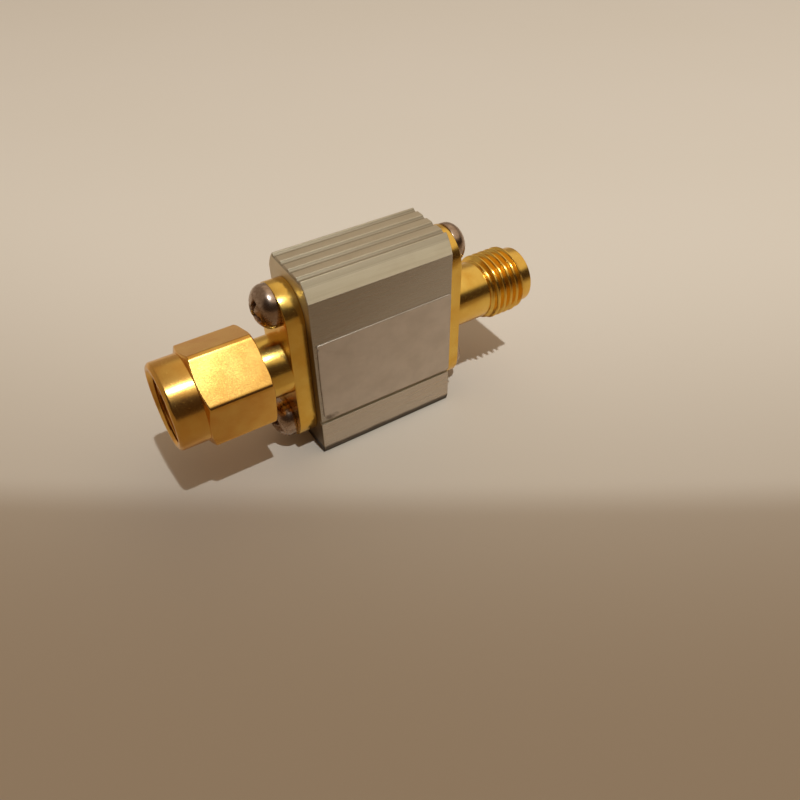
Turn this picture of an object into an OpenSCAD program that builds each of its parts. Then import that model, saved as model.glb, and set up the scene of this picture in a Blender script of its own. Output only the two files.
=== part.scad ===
// Inline coaxial bandpass filter with a screw-on plug at one end and a threaded jack at the other.
// X runs along the coaxial line: the plug points to -X and the jack to +X.
// The label faces -Y, and the housing stands on its narrow bottom face at Z = 0.

/* [Housing] */
// Length of the extruded housing between the two flanges
housing_len = 13.75; // [12:0.25:20]
// Thickness of the housing from the label face to the back
housing_depth = 7.2; // [6.8:0.1:10]
// Height of the housing from the bottom face to the top of the ribs
housing_h = 18.15; // [17.5:0.05:24]
// Height of each sloping shoulder along the top
shoulder_h = 1.6; // [1.2:0.1:2]
// Distance each shoulder leans in from the side face to the top
shoulder_run = 1; // [0.4:0.05:1.2]
// Height of the upper, flatter facet of each shoulder
crown_h = 0.9; // [0.5:0.05:1.1]
// Distance the lower, steeper facet of each shoulder leans in
shoulder_lean = 0.2; // [0.1:0.05:0.35]
// Chamfer along the bottom edges
foot_chamfer = 0.4; // [0.1:0.05:0.5]
// Number of shallow grooves along the top
groove_count = 4; // [2:1:4]
// Distance between neighbouring top grooves
groove_pitch = 1.45; // [1.2:0.05:1.5]
// Shift of the groove pattern towards the back
groove_shift = 0; // [-0.1:0.05:0.1]
// Depth of each top groove
groove_deep = 0.2; // [0.1:0.05:0.3]
// Radius of the round cutter that leaves each top groove
groove_r = 0.36; // [0.32:0.02:0.5]
// Height of the lengthwise line that runs along the front and the back face
line_z = 3.75; // [2:0.05:5]
// Width of that line
line_w = 0.35; // [0.2:0.05:0.5]
// Depth of that line
line_deep = 0.3; // [0.1:0.05:0.5]

/* [Cavity and board] */
// Width of the cavity across the housing
cavity_w = 4.6; // [4.2:0.1:4.8]
// Height of the cavity
cavity_h = 7.2; // [6.6:0.2:7.6]
// Depth of the guide slots that hold the board, above and below the cavity
slot_deep = 0.6; // [0.4:0.05:0.7]
// Thickness of the circuit board
board_t = 0.8; // [0.6:0.1:1]
// Thickness of the copper on either side of the board
copper_t = 0.05; // [0.03:0.01:0.08]
// Free space between the board and the walls of its slots
board_gap = 0.05; // [0.02:0.01:0.1]
// Width of the signal trace
trace_w = 1.5; // [1.2:0.1:2]
// Side of the square filter chip
chip_w = 3.8; // [3:0.1:4.2]
// Height of the filter chip
chip_h = 1.0; // [0.7:0.1:1.3]
// Length of the two inductors
coil_len = 1.6; // [1.4:0.1:1.8]
// Width and height of the two inductors
coil_w = 0.8; // [0.6:0.1:1]
// Length of the two capacitors
cap_len = 1.0; // [0.9:0.1:1.2]
// Width and height of the two capacitors
cap_w = 0.5; // [0.4:0.1:0.6]
// Distance of the inductors and capacitors from the edge of the filter chip
part_step = 1.2; // [0.9:0.1:1.3]

/* [Flanges and screws] */
// Distance from the middle of each flange screw to the round end of the flange
flange_end = 1.8; // [1.6:0.05:2.2]
// Width of each flange and diameter of the neck beside it
flange_w = 5.5; // [5.3:0.1:6]
// Thickness of each flange
flange_t = 1.65; // [1.3:0.05:2]
// Distance between the two flange screws
screw_pitch = 12.2; // [12:0.1:12.4]
// Diameter of the clearance holes in the flange
flange_hole_d = 2.6; // [2.4:0.1:2.8]
// Diameter of the screw shanks
screw_d = 2; // [1.8:0.1:2.1]
// Length of the screws under the head
screw_len = 5.2; // [4:0.2:6]
// Diameter of the screw heads
head_d = 3.8; // [3.5:0.1:4.4]
// Height of the domed screw heads
head_h = 1.7; // [1.1:0.1:2]
// Height of the straight rim below each dome
head_rim_h = 0.35; // [0.2:0.05:0.6]
// Width of each arm of the cross recess
recess_w = 0.5; // [0.3:0.05:0.7]
// Span of the cross recess
recess_span = 2.2; // [1.6:0.1:2.6]
// Depth of the cross recess
recess_deep = 0.7; // [0.4:0.05:0.9]

/* [Coaxial line] */
// Diameter of the white dielectric in the connector bores
dielectric_d = 4.1; // [3.9:0.05:4.2]
// Diameter of the dielectric where it passes the flange
stub_d = 3.2; // [2.8:0.1:3.6]
// Length of the thin dielectric stub that reaches into the housing
stub_len = 0.4; // [0.2:0.05:0.6]
// Diameter of the centre conductor inside the dielectric
conductor_d = 1.27; // [1.2:0.01:1.4]
// Diameter of the solder tails and of the narrow rear of each conductor
tail_d = 0.9; // [0.7:0.05:1]
// Distance that each solder tail reaches in from the housing's end
tail_reach = 2.4; // [1.8:0.1:2.6]
// Distance from the housing's end to the step where the jack's bore and conductor widen
step_at = 2.6; // [2.2:0.1:3.2]
// Working clearance between pieces that are pressed or slid into each other
seat_gap = 0.02; // [0.01:0.01:0.04]
// Length of the solder joint on each tail
solder_len = 1.5; // [1:0.1:1.7]

/* [Plug] */
// Length of the plug's neck from the flange to the nut
plug_neck_len = 2.15; // [1.8:0.05:2.6]
// Running gap between the neck and the back of the coupling nut
nut_back_gap = 0.1; // [0.05:0.05:0.2]
// Wall of the barrel on which the nut turns, around the dielectric's bore
barrel_wall = 0.43; // [0.4:0.01:0.5]
// Wall of the ferrule that enters a mating jack, around the dielectric's bore
ferrule_wall = 0.225; // [0.2:0.005:0.25]
// Length of the ferrule, and depth of the jack's counterbore that takes one
ferrule_len = 1.95; // [1.8:0.05:2]
// Diameter of the centre pin
pin_d = 0.91; // [0.88:0.01:0.94]
// Length of the centre pin in front of the ferrule
pin_len = 2; // [1.8:0.05:2.4]
// Length of the pin's tapered tip
pin_tip_len = 0.35; // [0.2:0.05:0.5]

/* [Coupling nut] */
// Wall of the coupling nut between its undercut and its flats
nut_wall = 0.75; // [0.65:0.05:1]
// Length of the hexagonal part of the nut
nut_hex_len = 5.75; // [5:0.05:6.4]
// Length of the round collar in front of the hexagon
nut_collar_len = 2.55; // [2:0.05:3.2]
// Step down from the flats to the round collar
collar_step = 0.15; // [0.05:0.01:0.2]
// Bevel at the front rim of the collar
nut_bevel = 0.25; // [0.1:0.05:0.35]
// Length that each corner of the hexagon loses to the bevel at the collar's end
hex_bevel = 0.3; // [0.2:0.05:0.6]
// The same at the flange's end, where the tool cuts less deep at the same slope
hex_back_bevel = 0.15; // [0.1:0.05:0.6]
// Overlap of the nut's thread on the thread of a mating jack, per side
thread_bite = 0.125; // [0.05:0.025:0.2]
// Room around a mating jack's thread in the undercut behind the nut's thread, per side
undercut_gap = 0.075; // [0.05:0.025:0.15]
// Running clearance between the nut's rear lip and the barrel, per side
nut_run_gap = 0.05; // [0.03:0.01:0.08]
// Turn of the hexagon at rest, from a corner straight up towards the label side
nut_rest_turn = 9.5; // [0:0.5:30]
// Length of the nut's rear lip behind the ring groove
nut_lip_len = 1.3; // [1.1:0.05:1.4]
// Thickness of the wall between the ring groove and the gasket chamber
nut_web = 0.4; // [0.3:0.05:0.5]
// Thickness of the spring wire ring that keeps the nut on the barrel
ring_t = 0.5; // [0.4:0.05:0.6]
// Distance that the ring stands out of the barrel's groove
ring_stand = 0.35; // [0.25:0.05:0.4]
// Distance that the ring sinks into the barrel's groove
ring_sink = 0.2; // [0.15:0.01:0.25]
// Width of the opening in the ring
ring_split = 0.8; // [0.5:0.1:1.2]
// Clearance around the ring in the nut's groove
ring_gap = 0.15; // [0.1:0.01:0.2]
// Thickness of the soft gasket at the bottom of the nut
gasket_t = 0.8; // [0.6:0.05:0.9]
// Distance that the barrel reaches into the gasket
gasket_seat = 0.475; // [0.3:0.025:0.5]

/* [Jack] */
// Length of the jack's smooth neck, measured from the flange
jack_neck_len = 3.45; // [3:0.05:3.8]
// Width of the relief behind the jack's thread
relief_w = 0.25; // [0.15:0.05:0.4]
// Depth of that relief below the thread's outside
relief_deep = 0.575; // [0.5:0.025:0.65]
// Height of the thread above the plain tip
thread_rise = 0.475; // [0.45:0.005:0.5]
// Length of the jack's thread
thread_len = 3.8; // [3.4:0.1:4.4]
// Bevel at either end of the thread
thread_bevel = 0.3; // [0.2:0.05:0.4]
// Wall of the plain tip around the counterbore
tip_wall = 0.375; // [0.35:0.005:0.4]
// Length of the plain tip
tip_len = 1.05; // [0.8:0.05:1.3]
// Room around a mating ferrule in the counterbore, per side
mate_gap = 0.03; // [0.02:0.005:0.05]
// Room around a mating pin in the centre contact, per side
pin_gap = 0.02; // [0.01:0.005:0.03]
// Depth of the hole in the centre contact
socket_deep = 3; // [2.6:0.1:3.4]
// Width of the slit that makes the contact springy
socket_slit = 0.12; // [0.1:0.01:0.14]
// Length of the slit
slit_len = 1.8; // [1.4:0.1:2.2]

/* [Label] */
// Height of the front label
label_h = 8.55; // [6:0.05:10]
// Thickness of the front label
label_t = 0.1; // [0.05:0.01:0.15]
// Bare margin at the label's left end
label_left = 0.32; // [0.1:0.02:0.6]
// Bare margin at the label's right end
label_right = 0.08; // [0.04:0.02:0.6]
// Bare strip between the line and the label
label_lift = 0.05; // [0.02:0.01:0.3]
// Radius of the label's corners
label_corner = 0.3; // [0.1:0.05:0.6]

/* [Hidden] */
$fn = 48;
end_x = housing_len / 2;
half_d = housing_depth / 2;
axis_z = housing_h / 2;
tail_r = tail_d / 2;
board_front = tail_r + seat_gap + copper_t;
board_back = board_front + board_t;
board_top = cavity_h / 2 + slot_deep - board_gap;
board_len = housing_len - 2 * (stub_len + 2 * board_gap);
part_x = chip_w / 2 + part_step;
pad_w = 0.9;
pad_lap = 0.25;
solder_w = 1.3;
solder_rise = 0.15;
screw_port_d = screw_d + 2 * seat_gap;
flange_len = screw_pitch + 2 * flange_end;
neck_d = flange_w;
bore_d = dielectric_d + 2 * seat_gap;
barrel_d = bore_d + 2 * barrel_wall;
ferrule_d = bore_d + 2 * ferrule_wall;
counterbore_d = ferrule_d + 2 * mate_gap;
tip_d = counterbore_d + 2 * tip_wall;
thread_d = tip_d + 2 * thread_rise;
relief_d = thread_d - 2 * relief_deep;
socket_d = pin_d + 2 * pin_gap;
nut_back = flange_t + plug_neck_len + nut_back_gap;
nut_front = nut_back + nut_hex_len + nut_collar_len;
nut_lip_end = nut_back + nut_lip_len;
ring_d = barrel_d + 2 * ring_stand;
ring_bore_d = barrel_d - 2 * ring_sink;
ring_slot_w = ring_t + 2 * ring_gap;
chamber_floor = nut_lip_end + ring_slot_w + nut_web;
gasket_back = chamber_floor + ring_gap / 2;
ferrule_face = gasket_back + gasket_seat + ferrule_len;
plug_step = ferrule_face - ferrule_len;
relief_end = gasket_back + gasket_t + ring_gap;
nut_bore_d = thread_d - 2 * thread_bite;
nut_relief_d = thread_d + 2 * undercut_gap;
nut_flats = nut_relief_d + 2 * nut_wall;
nut_collar_d = nut_flats - 2 * collar_step;
nut_hex_r = nut_flats / sqrt(3);
gasket_d = nut_relief_d - 2 * ring_gap;
jack_front = flange_t + jack_neck_len + relief_w + thread_len + tip_len;
jack_plane = jack_front - ferrule_len;
label_len = housing_len - label_left - label_right;
cut = 0.01;

// Places its children on one end face of the housing, growing outwards along the coaxial line.
// side is 1 for the jack's end and -1 for the plug's end.
module at_end(side) {
    translate([side * end_x, 0, axis_z]) rotate([0, side * 90, 0]) children();
}

// A turned piece on one end face, from points [radius, distance from the end face].
module turned(side, points) {
    at_end(side) rotate_extrude() polygon(points);
}

// Lays a flat outline, drawn in Y and Z, across the housing and stretches it along X.
module along_housing(length) {
    rotate([90, 0, 90]) linear_extrude(length, center = true) children();
}

// A block that lies on the board: place along the line, height above the axis, and size.
module on_board(x, z, long, high, thick, foot) {
    translate([x - long / 2, foot - thick, axis_z + z - high / 2]) cube([long, thick, high]);
}

// One half of the housing's outline, for the side that s points to.
function side_points(s) = [
    [s * (half_d - foot_chamfer), 0],
    [s * half_d, foot_chamfer],
    [s * half_d, housing_h - shoulder_h],
    [s * (half_d - shoulder_lean), housing_h - crown_h],
    [s * (half_d - shoulder_run), housing_h]
];

function reversed(list) = [for (i = [len(list) - 1:-1:0]) list[i]];

// Outline of the extrusion with its shoulders, top grooves and side lines.
module housing_outline() {
    difference() {
        polygon(concat(side_points(1), reversed(side_points(-1))));
        for (i = [0:groove_count - 1])
            translate([groove_shift + (i - (groove_count - 1) / 2) * groove_pitch, housing_h + groove_r - groove_deep])
                circle(groove_r);
        for (s = [-1, 1])
            translate([s * half_d, line_z]) square([2 * line_deep, line_w], center = true);
    }
}

// The board's guide slots lie behind the axis, so that the solder tails rest on the board's front.
module cavity_outline() {
    translate([0, axis_z]) {
        square([cavity_w, cavity_h], center = true);
        translate([board_front - board_gap, -cavity_h / 2 - slot_deep])
            square([board_t + 2 * board_gap, cavity_h + 2 * slot_deep]);
    }
}

module housing() {
    color("#b9b09c") along_housing(housing_len) difference() {
        housing_outline();
        cavity_outline();
        for (s = [-1, 1])
            translate([0, axis_z + s * screw_pitch / 2]) circle(d = screw_port_d);
    }
}

// Sheet with round corners, its lower left corner at the origin.
module label_outline() {
    r = label_corner;
    translate([r, 0]) square([label_len - 2 * r, label_h]);
    translate([0, r]) square([label_len, label_h - 2 * r]);
    for (x = [r, label_len - r], y = [r, label_h - r])
        translate([x, y]) circle(r);
}

module front_label() {
    color("#d9d3c8")
        translate([-end_x + label_left, -half_d, line_z + line_w / 2 + label_lift])
            rotate([90, 0, 0]) linear_extrude(label_t) label_outline();
}

module circuit_board() {
    color("#2f6b3f") translate([-board_len / 2, board_front, axis_z - board_top])
        cube([board_len, board_t, 2 * board_top]);
}

// Signal traces from each tail to the chip, with a branch pad above and below each trace.
module signal_copper() {
    inner = chip_w / 2 - pad_lap;
    branch = trace_w / 2 + coil_len - pad_lap;
    low_branch = trace_w / 2 + cap_len - pad_lap;
    color("#c98a3a") for (s = [-1, 1]) {
        translate([s > 0 ? inner : -board_len / 2 + board_gap, board_front - copper_t, axis_z - trace_w / 2])
            cube([board_len / 2 - board_gap - inner, copper_t, trace_w]);
        on_board(s * part_x, branch, pad_w, 2 * pad_lap, copper_t, board_front);
        on_board(s * part_x, -low_branch, pad_w, 2 * pad_lap, copper_t, board_front);
    }
}

module ground_copper() {
    high = cavity_h - 2 * board_gap;
    color("#b5762f") translate([-board_len / 2, board_back, axis_z - high / 2])
        cube([board_len, copper_t, high]);
}

module filter_chip() {
    foot = board_front - copper_t;
    lid = chip_w - 0.6;
    color("#d8cdb4") {
        on_board(0, 0, chip_w, chip_w, chip_h, foot);
        on_board(0, 0, lid, lid, copper_t, foot - chip_h);
    }
}

module inductor(side) {
    color("#4a4f57")
        on_board(side * part_x, (trace_w + coil_len) / 2 - pad_lap, coil_w, coil_len, coil_w, board_front - copper_t);
}

module capacitor(side) {
    color("#b59a72")
        on_board(side * part_x, -(trace_w + cap_len) / 2 + pad_lap, cap_w, cap_len, cap_w, board_front - copper_t);
}

module input_inductor() { inductor(-1); }
module output_inductor() { inductor(1); }
module input_capacitor() { capacitor(-1); }
module output_capacitor() { capacitor(1); }

// Fillet of solder that climbs from the trace to the sides of a tail.
module solder(side) {
    foot = board_front - copper_t;
    color("#c9cdd0")
        translate([side * (end_x - tail_reach + solder_len / 2), 0, axis_z]) difference() {
            along_housing(solder_len) polygon([
                [foot, -solder_w / 2], [foot - solder_rise, -solder_w / 3], [-tail_r / 2, -tail_r - solder_rise / 2],
                [-tail_r / 2, tail_r + solder_rise / 2], [foot - solder_rise, solder_w / 3], [foot, solder_w / 2]
            ]);
            rotate([0, 90, 0]) cylinder(h = 2 * solder_len, d = tail_d, center = true);
        }
}

module input_solder() { solder(-1); }
module output_solder() { solder(1); }

// Flat flange with round ends, two clearance holes and a hole for the turned piece.
module flange(side, hole_d) {
    at_end(side) linear_extrude(flange_t) difference() {
        union() {
            square([flange_len - flange_w, flange_w], center = true);
            for (s = [-1, 1]) translate([s * (flange_len - flange_w) / 2, 0]) circle(d = flange_w);
        }
        for (s = [-1, 1]) translate([s * screw_pitch / 2, 0]) circle(d = flange_hole_d);
        circle(d = hole_d);
    }
}

// Flange, neck, barrel with the ring's groove, and the ferrule, all bored for the dielectric.
module plug_body() {
    stub_bore = stub_d / 2 + seat_gap;
    bore = bore_d / 2;
    ring_slot = nut_lip_end + ring_gap / 2;
    color("#d9a441") {
        flange(-1, 2 * stub_bore);
        turned(-1, [
            [stub_bore, 0], [stub_bore, plug_step], [bore, plug_step], [bore, ferrule_face],
            [ferrule_d / 2 - seat_gap, ferrule_face], [ferrule_d / 2, ferrule_face - seat_gap],
            [ferrule_d / 2, ferrule_face - ferrule_len], [barrel_d / 2, ferrule_face - ferrule_len],
            [barrel_d / 2, ring_slot + ring_t + ring_gap], [ring_bore_d / 2 - seat_gap, ring_slot + ring_t + ring_gap],
            [ring_bore_d / 2 - seat_gap, ring_slot], [barrel_d / 2, ring_slot],
            [barrel_d / 2, flange_t + plug_neck_len], [neck_d / 2, flange_t + plug_neck_len], [neck_d / 2, 0]
        ]);
    }
}

module plug_dielectric() {
    color("#f1eee6") turned(-1, [
        [tail_r + seat_gap, -stub_len], [tail_r + seat_gap, plug_step], [conductor_d / 2 + seat_gap, plug_step],
        [conductor_d / 2 + seat_gap, ferrule_face], [dielectric_d / 2, ferrule_face],
        [dielectric_d / 2, plug_step + seat_gap], [stub_d / 2, plug_step + seat_gap], [stub_d / 2, -stub_len]
    ]);
}

module plug_pin() {
    color("#e0b04c") turned(-1, [
        [0, -tail_reach], [tail_r, -tail_reach], [tail_r, plug_step + seat_gap], [conductor_d / 2, plug_step + seat_gap],
        [conductor_d / 2, ferrule_face], [pin_d / 2, ferrule_face], [pin_d / 2, ferrule_face + pin_len - pin_tip_len],
        [pin_d / 5, ferrule_face + pin_len], [0, ferrule_face + pin_len]
    ]);
}

// Hexagon and collar, with both ends of the hexagon turned to a bevel.
module nut_outside() {
    hex_end = nut_back + nut_hex_len;
    bevel_r = (nut_flats - collar_step) / 2;
    back_r = nut_hex_r - (nut_hex_r - bevel_r) * hex_back_bevel / hex_bevel;
    at_end(-1) rotate([0, 0, -nut_rest_turn]) intersection() {
        translate([0, 0, nut_back]) cylinder(h = nut_hex_len, r = nut_hex_r, $fn = 6);
        rotate_extrude($fn = 64) polygon([
            [0, nut_back], [back_r, nut_back], [nut_hex_r, nut_back + hex_back_bevel],
            [nut_hex_r, hex_end - hex_bevel], [bevel_r, hex_end], [0, hex_end]
        ]);
    }
    turned(-1, [
        [0, hex_end - nut_bevel], [nut_collar_d / 2, hex_end - nut_bevel], [nut_collar_d / 2, nut_front - nut_bevel],
        [nut_collar_d / 2 - nut_bevel, nut_front], [0, nut_front]
    ]);
}

module coupling_nut() {
    lip = barrel_d / 2 + nut_run_gap;
    slot = ring_d / 2 + ring_gap;
    color("#e3b352") difference() {
        nut_outside();
        turned(-1, [
            [0, nut_back - cut], [lip, nut_back - cut], [lip, nut_lip_end], [slot, nut_lip_end],
            [slot, nut_lip_end + ring_slot_w], [lip, nut_lip_end + ring_slot_w], [lip, chamber_floor],
            [nut_relief_d / 2, chamber_floor], [nut_relief_d / 2, relief_end], [nut_bore_d / 2, relief_end],
            [nut_bore_d / 2, nut_front - nut_bevel], [nut_bore_d / 2 + nut_bevel, nut_front],
            [nut_bore_d / 2 + nut_bevel, nut_front + cut], [0, nut_front + cut]
        ]);
    }
}

// Open wire ring that snaps into the barrel's groove and keeps the nut from sliding off.
module retaining_ring() {
    back = nut_lip_end + ring_gap;
    color("#b8862f") at_end(-1) difference() {
        translate([0, 0, back]) cylinder(h = ring_t, d = ring_d);
        translate([0, 0, back - cut]) cylinder(h = ring_t + 2 * cut, d = ring_bore_d);
        translate([0, -ring_split / 2, back - cut]) cube([ring_d, ring_split, ring_t + 2 * cut]);
    }
}

module plug_gasket() {
    color("#c8553a") turned(-1, [
        [ferrule_d / 2 + seat_gap, gasket_back + gasket_t], [gasket_d / 2, gasket_back + gasket_t],
        [gasket_d / 2, gasket_back], [barrel_d / 2 + seat_gap, gasket_back],
        [barrel_d / 2 + seat_gap, ferrule_face - ferrule_len + seat_gap],
        [ferrule_d / 2 + seat_gap, ferrule_face - ferrule_len + seat_gap]
    ]);
}

// Flange, neck, relief and the thread's outer cylinder, with a plain tip in front.
module jack_body() {
    stub_bore = stub_d / 2 + seat_gap;
    bore = bore_d / 2;
    neck_end = flange_t + jack_neck_len;
    thread_start = neck_end + relief_w;
    thread_end = thread_start + thread_len;
    color("#d9a441") {
        flange(1, 2 * stub_bore);
        turned(1, [
            [stub_bore, 0], [stub_bore, step_at], [bore, step_at], [bore, jack_plane],
            [counterbore_d / 2, jack_plane], [counterbore_d / 2, jack_front],
            [tip_d / 2 - thread_bevel / 2, jack_front], [tip_d / 2, jack_front - thread_bevel / 2],
            [tip_d / 2, thread_end], [thread_d / 2 - thread_bevel, thread_end],
            [thread_d / 2, thread_end - thread_bevel], [thread_d / 2, thread_start + thread_bevel],
            [thread_d / 2 - thread_bevel, thread_start], [relief_d / 2, thread_start],
            [relief_d / 2, neck_end], [neck_d / 2, neck_end], [neck_d / 2, 0]
        ]);
    }
}

module jack_dielectric() {
    color("#f1eee6") turned(1, [
        [tail_r + seat_gap, -stub_len], [tail_r + seat_gap, step_at], [conductor_d / 2 + seat_gap, step_at],
        [conductor_d / 2 + seat_gap, jack_plane], [dielectric_d / 2, jack_plane],
        [dielectric_d / 2, step_at + seat_gap], [stub_d / 2, step_at + seat_gap], [stub_d / 2, -stub_len]
    ]);
}

// Spring socket: a bored rod with one slit across its mouth and a solder tail behind.
module jack_contact() {
    color("#e0b04c") difference() {
        turned(1, [
            [0, -tail_reach], [tail_r, -tail_reach], [tail_r, step_at + seat_gap], [conductor_d / 2, step_at + seat_gap],
            [conductor_d / 2, jack_plane], [0, jack_plane]
        ]);
        at_end(1) {
            translate([0, 0, jack_plane - socket_deep]) cylinder(h = socket_deep + cut, d = socket_d);
            translate([-conductor_d, -socket_slit / 2, jack_plane - slit_len])
                cube([2 * conductor_d, socket_slit, slit_len + cut]);
        }
    }
}

// Points along a screw head's dome, from the rim to the middle.
function dome(steps) = [for (i = [0:steps])
    [head_d / 2 * cos(90 * i / steps), head_rim_h + (head_h - head_rim_h) * sin(90 * i / steps)]];

// Domed screw with a cross recess, its head resting on the flange.
// up is 1 for the upper screw, and turn is how far the recess is turned.
module flange_screw(side, up, turn) {
    color("#8b8780") at_end(side) translate([-side * up * screw_pitch / 2, 0, flange_t]) difference() {
        union() {
            rotate_extrude() polygon(concat([[0, 0], [head_d / 2, 0]], dome(8)));
            translate([0, 0, -screw_len]) cylinder(h = screw_len + cut, d = screw_d);
        }
        for (a = [0, 90]) rotate([0, 0, turn + a])
            translate([0, 0, head_h - recess_deep / 2 + cut])
                cube([recess_span, recess_w, recess_deep + 2 * cut], center = true);
    }
}

// Four identical screws, each with its recess stopped at its own angle.
module flange_screws() {
    flange_screw(-1, 1, 20);
    flange_screw(-1, -1, 65);
    flange_screw(1, 1, 40);
    flange_screw(1, -1, 10);
}

housing();
front_label();
circuit_board();
signal_copper();
ground_copper();
filter_chip();
input_inductor();
output_inductor();
input_capacitor();
output_capacitor();
input_solder();
output_solder();
plug_body();
plug_dielectric();
plug_pin();
coupling_nut();
retaining_ring();
plug_gasket();
jack_body();
jack_dielectric();
jack_contact();
flange_screws();
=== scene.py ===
# %% [markdown]
# # A small coaxial bandpass filter
#
# The object is a slim aluminium block with a gold plug at its left end and a gold
# jack at its right end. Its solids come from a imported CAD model, in metres. This
# lesson dresses them: it builds finer meshes where the eye looks for detail, such as
# threads, rounded edges and screw recesses, and gives each piece a finish made of
# shader nodes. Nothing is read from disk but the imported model.

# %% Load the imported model
import math

import bmesh
import bpy
import numpy as np
from mathutils import Matrix, Vector


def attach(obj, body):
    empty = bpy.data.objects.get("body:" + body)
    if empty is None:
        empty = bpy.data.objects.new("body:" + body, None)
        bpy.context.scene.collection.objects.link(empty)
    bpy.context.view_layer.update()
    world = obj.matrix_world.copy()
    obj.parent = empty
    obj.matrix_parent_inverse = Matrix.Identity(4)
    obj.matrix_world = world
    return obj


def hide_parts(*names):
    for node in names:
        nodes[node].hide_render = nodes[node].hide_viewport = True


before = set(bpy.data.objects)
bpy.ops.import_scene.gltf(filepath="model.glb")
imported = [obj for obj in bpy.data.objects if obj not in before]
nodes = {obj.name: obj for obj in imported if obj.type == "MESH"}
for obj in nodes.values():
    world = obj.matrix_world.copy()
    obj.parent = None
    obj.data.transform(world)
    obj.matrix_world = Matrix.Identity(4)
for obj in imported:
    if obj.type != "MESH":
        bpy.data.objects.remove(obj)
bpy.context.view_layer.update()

# %% [markdown]
# ## Working sizes
#
# All pieces are drawn in millimetres, because Blender's curve filling and merging use
# small fixed tolerances that suit a few units better than a few thousandths. Each
# finished mesh is scaled to metres once, at the end.
#
# The coaxial line runs along X at AXIS_Z. A distance along it is measured outwards
# from an end face of the housing, so one profile serves either end: side is -1 for
# the plug's end and 1 for the jack's.

# %% Sizes shared by the pieces
MM = 0.001
END_X = 6.875
AXIS_Z = 9.075
HOUSING_H = 18.15
HALF_DEPTH = 3.6


def circle(count):
    """Angles of one full turn, with the first repeated at the end to close the seam."""
    return np.linspace(0, 2 * math.pi, count + 1)


def ring(side, radius, reach, angles, lift=0.0):
    """Points round a line along X: radius and reach may be numbers or one per angle."""
    radius = np.broadcast_to(radius, angles.shape)
    reach = np.broadcast_to(reach, angles.shape)
    return np.stack([side * (END_X + reach), radius * np.cos(angles),
                     AXIS_Z + lift + radius * np.sin(angles)], axis=1)


print("end faces at x =", -END_X, "and", END_X, "mm, coaxial line at z =", AXIS_Z, "mm")

# %% [markdown]
# ## From rings to a mesh
#
# Most pieces here came off a lathe. Blender has a Screw modifier and a spin operator
# for that, but a thread or a hexagon isn't the same all the way round. A skin over a
# list of rings covers all three: each ring is a closed row of points, and faces join
# one row to the next. Rows that meet in a point or on each other are welded, which
# also closes the seam.

# %% Skin and weld
def weld(mesh, reach=2e-4):
    """Merges points closer than reach and turns all faces outwards."""
    work = bmesh.new()
    work.from_mesh(mesh)
    bmesh.ops.remove_doubles(work, verts=work.verts, dist=reach)
    bmesh.ops.dissolve_degenerate(work, edges=work.edges, dist=reach / 10)
    bmesh.ops.recalc_face_normals(work, faces=work.faces)
    work.to_mesh(mesh)
    work.free()
    return mesh


def object_of(name, data):
    """Puts a mesh, a curve, a lamp or a camera into the scene as an object."""
    piece = bpy.data.objects.new(name, data)
    bpy.context.scene.collection.objects.link(piece)
    return piece


def skin(name, rows, closed=True):
    """A mesh over rows of points. closed joins the last row to the first."""
    rows = np.array(rows)
    count, wide = rows.shape[:2]
    faces = []
    for i in range(count if closed else count - 1):
        a, b = i * wide, ((i + 1) % count) * wide
        faces += [(a + j, a + j + 1, b + j + 1, b + j) for j in range(wide - 1)]
    mesh = bpy.data.meshes.new(name)
    mesh.from_pydata(rows.reshape(-1, 3).tolist(), [], faces)
    return object_of(name, weld(mesh))


def open_edges(piece):
    """How many edges don't have exactly two faces: 0 on a closed body."""
    work = bmesh.new()
    work.from_mesh(piece.data)
    count = sum(1 for e in work.edges if len(e.link_faces) != 2)
    work.free()
    return count


# %% [markdown]
# ## Rounded corners in the profile
#
# A real edge is never perfectly sharp: the small round along it catches the lamp as a
# thin bright line, and without it metal looks like paper. The Bevel modifier could do
# this, but rounding the drawn profile gives even quads and full control of each
# corner. Each corner is cut back on both sides and bridged with a short curve. A cut
# takes less than half of a side, so that two of them never meet.

# %% Rounding and turning
SIDE_SHARE = 0.45


def eased(points, radius, closed=True, steps=3):
    """Rounds the corners of a line of points. A third number on a point is its own radius."""
    out = []
    count = len(points)
    for i, point in enumerate(points):
        here = np.array(point[:2], float)
        cut = point[2] if len(point) > 2 else radius
        if cut == 0 or (not closed and i in (0, count - 1)):
            out.append(here)
            continue
        before = np.array(points[i - 1][:2], float) - here
        after = np.array(points[(i + 1) % count][:2], float) - here
        far = [np.linalg.norm(before), np.linalg.norm(after)]
        cut = min(cut, SIDE_SHARE * far[0], SIDE_SHARE * far[1])
        start, end = here + before / far[0] * cut, here + after / far[1] * cut
        for t in np.linspace(0, 1, steps + 1):
            out.append((1 - t) ** 2 * start + 2 * t * (1 - t) * here + t ** 2 * end)
    return out


def turned(name, side, profile, radius=0.03, around=96, closed=True):
    """A lathe-turned body from a profile of (radius, distance from the end face)."""
    angles = circle(around)
    rows = [ring(side, r, d, angles) for r, d in eased(profile, radius, closed)]
    return skin(name, rows, closed)


# %% [markdown]
# ## Flat pieces with holes
#
# A flange, a label or an extrusion is an outline pushed along one direction. A filled
# 2D curve makes that in one step: it takes holes as further loops, and its bevel
# rounds every edge, those of the holes too. The bevel grows outwards, so the outline
# is offset inwards by the same amount and the outer size stays exact. The curve lies
# flat, so its (u, v) are then turned into (Y, Z), or into (X, Z) for the label.

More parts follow.
